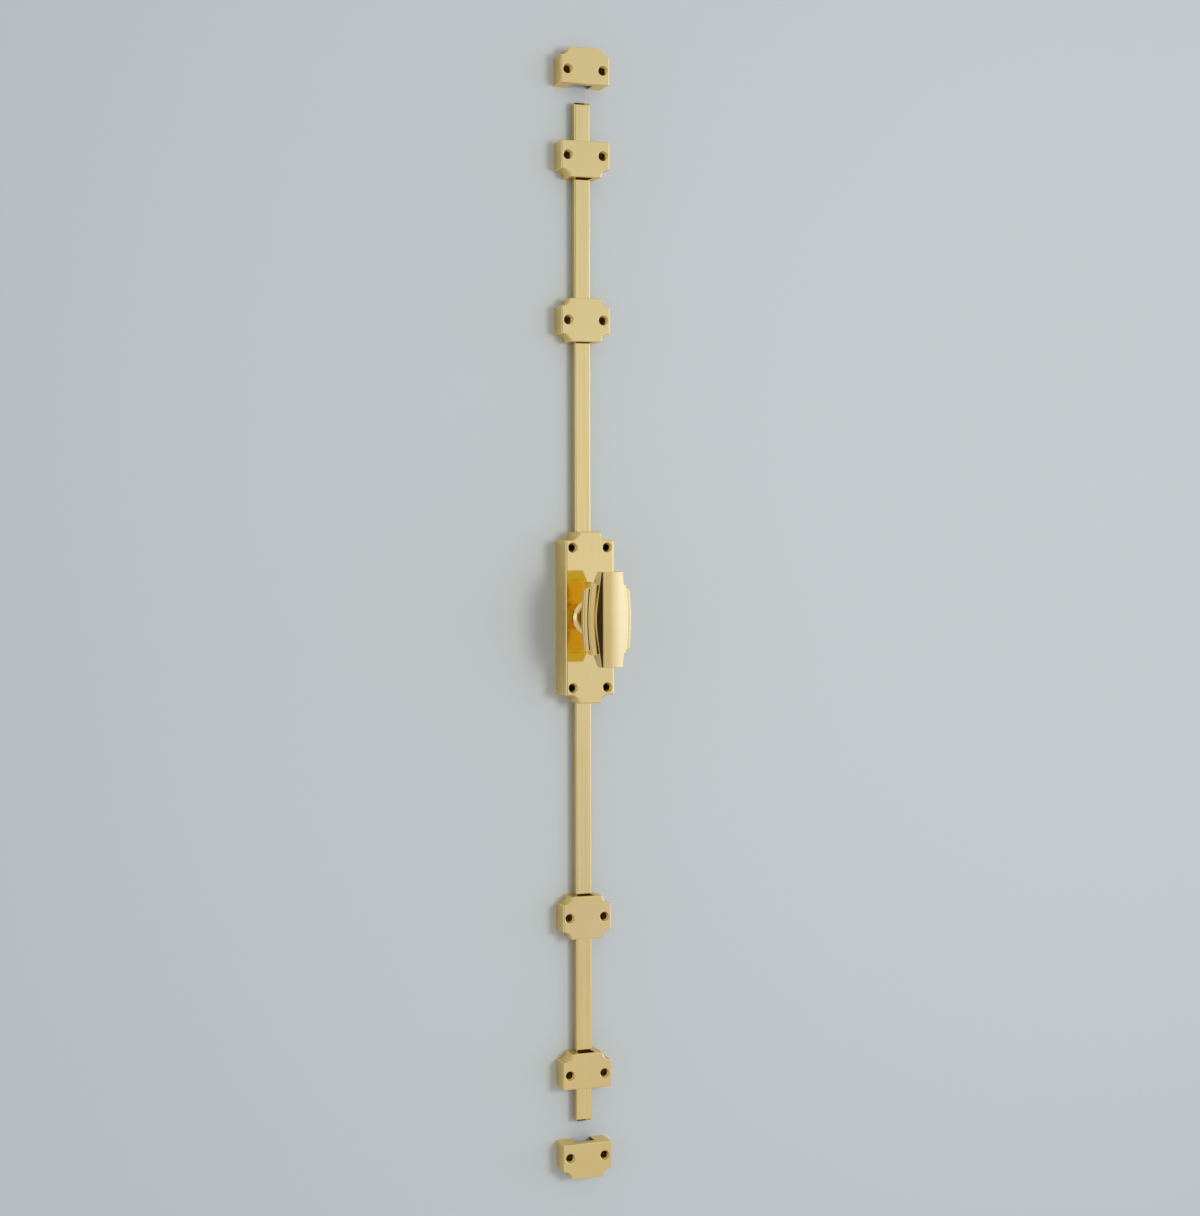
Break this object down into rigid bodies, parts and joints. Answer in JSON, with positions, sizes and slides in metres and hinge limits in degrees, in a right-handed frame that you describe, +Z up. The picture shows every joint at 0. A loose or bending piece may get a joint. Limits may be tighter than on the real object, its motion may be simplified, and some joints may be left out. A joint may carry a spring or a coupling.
{
  "type": "cremone bolt",
  "caption": "Surface-mounted brass cremone bolt: a stepped knob on a gearbox drives rods up and down through coved guides into keeps.",
  "frame": {"origin": "on the spindle axis, at the back face of the gearbox, which lies on the door", "axes": "+X to the right seen from the room, +Y into the door, +Z up along the rods"},
  "size_m": [0.04, 0.0667, 0.8777],
  "materials": {
    "polished_brass": "polished",
    "bronze": "machined",
    "steel": "machined"
  },
  "bodies": {
    "frame_set": {"gearbox_case": "polished_brass", "gearbox_backplate": "polished_brass", "backplate_screws": "steel", "spindle_collar": "polished_brass", "rear_bush": "bronze", "upper_mid_guide": "polished_brass", "upper_end_guide": "polished_brass", "lower_mid_guide": "polished_brass", "lower_end_guide": "polished_brass", "upper_keep": "polished_brass", "lower_keep": "polished_brass"},
    "knob": {"knob_grip": "polished_brass", "knob_neck": "polished_brass", "knob_grub_screw": "steel", "spindle": "steel", "pinion": "steel", "thrust_washer": "bronze"},
    "upper_bolt": {"upper_rod": "polished_brass", "upper_rack": "steel", "upper_rack_screws": "steel"},
    "lower_bolt": {"lower_rod": "polished_brass", "lower_rack": "steel", "lower_rack_screws": "steel"}
  },
  "joints": [
    {"name": "knob_turn", "type": "hinge", "parent": "frame_set", "child": "knob", "pos_m": [0, 0, 0], "axis": [0, 1, 0], "range_deg": [0, 180]},
    {"name": "upper_bolt_slide", "type": "slide", "parent": "frame_set", "child": "upper_bolt", "axis": [0, 0, 1], "range_m": [0, 0.0283]},
    {"name": "lower_bolt_slide", "type": "slide", "parent": "frame_set", "child": "lower_bolt", "axis": [0, 0, -1], "range_m": [0, 0.0283]}
  ],
  "couplings": [
    {"joint": "upper_bolt_slide", "follows": "knob_turn", "m_per_rad": 0.009},
    {"joint": "lower_bolt_slide", "follows": "knob_turn", "m_per_rad": 0.009}
  ]
}
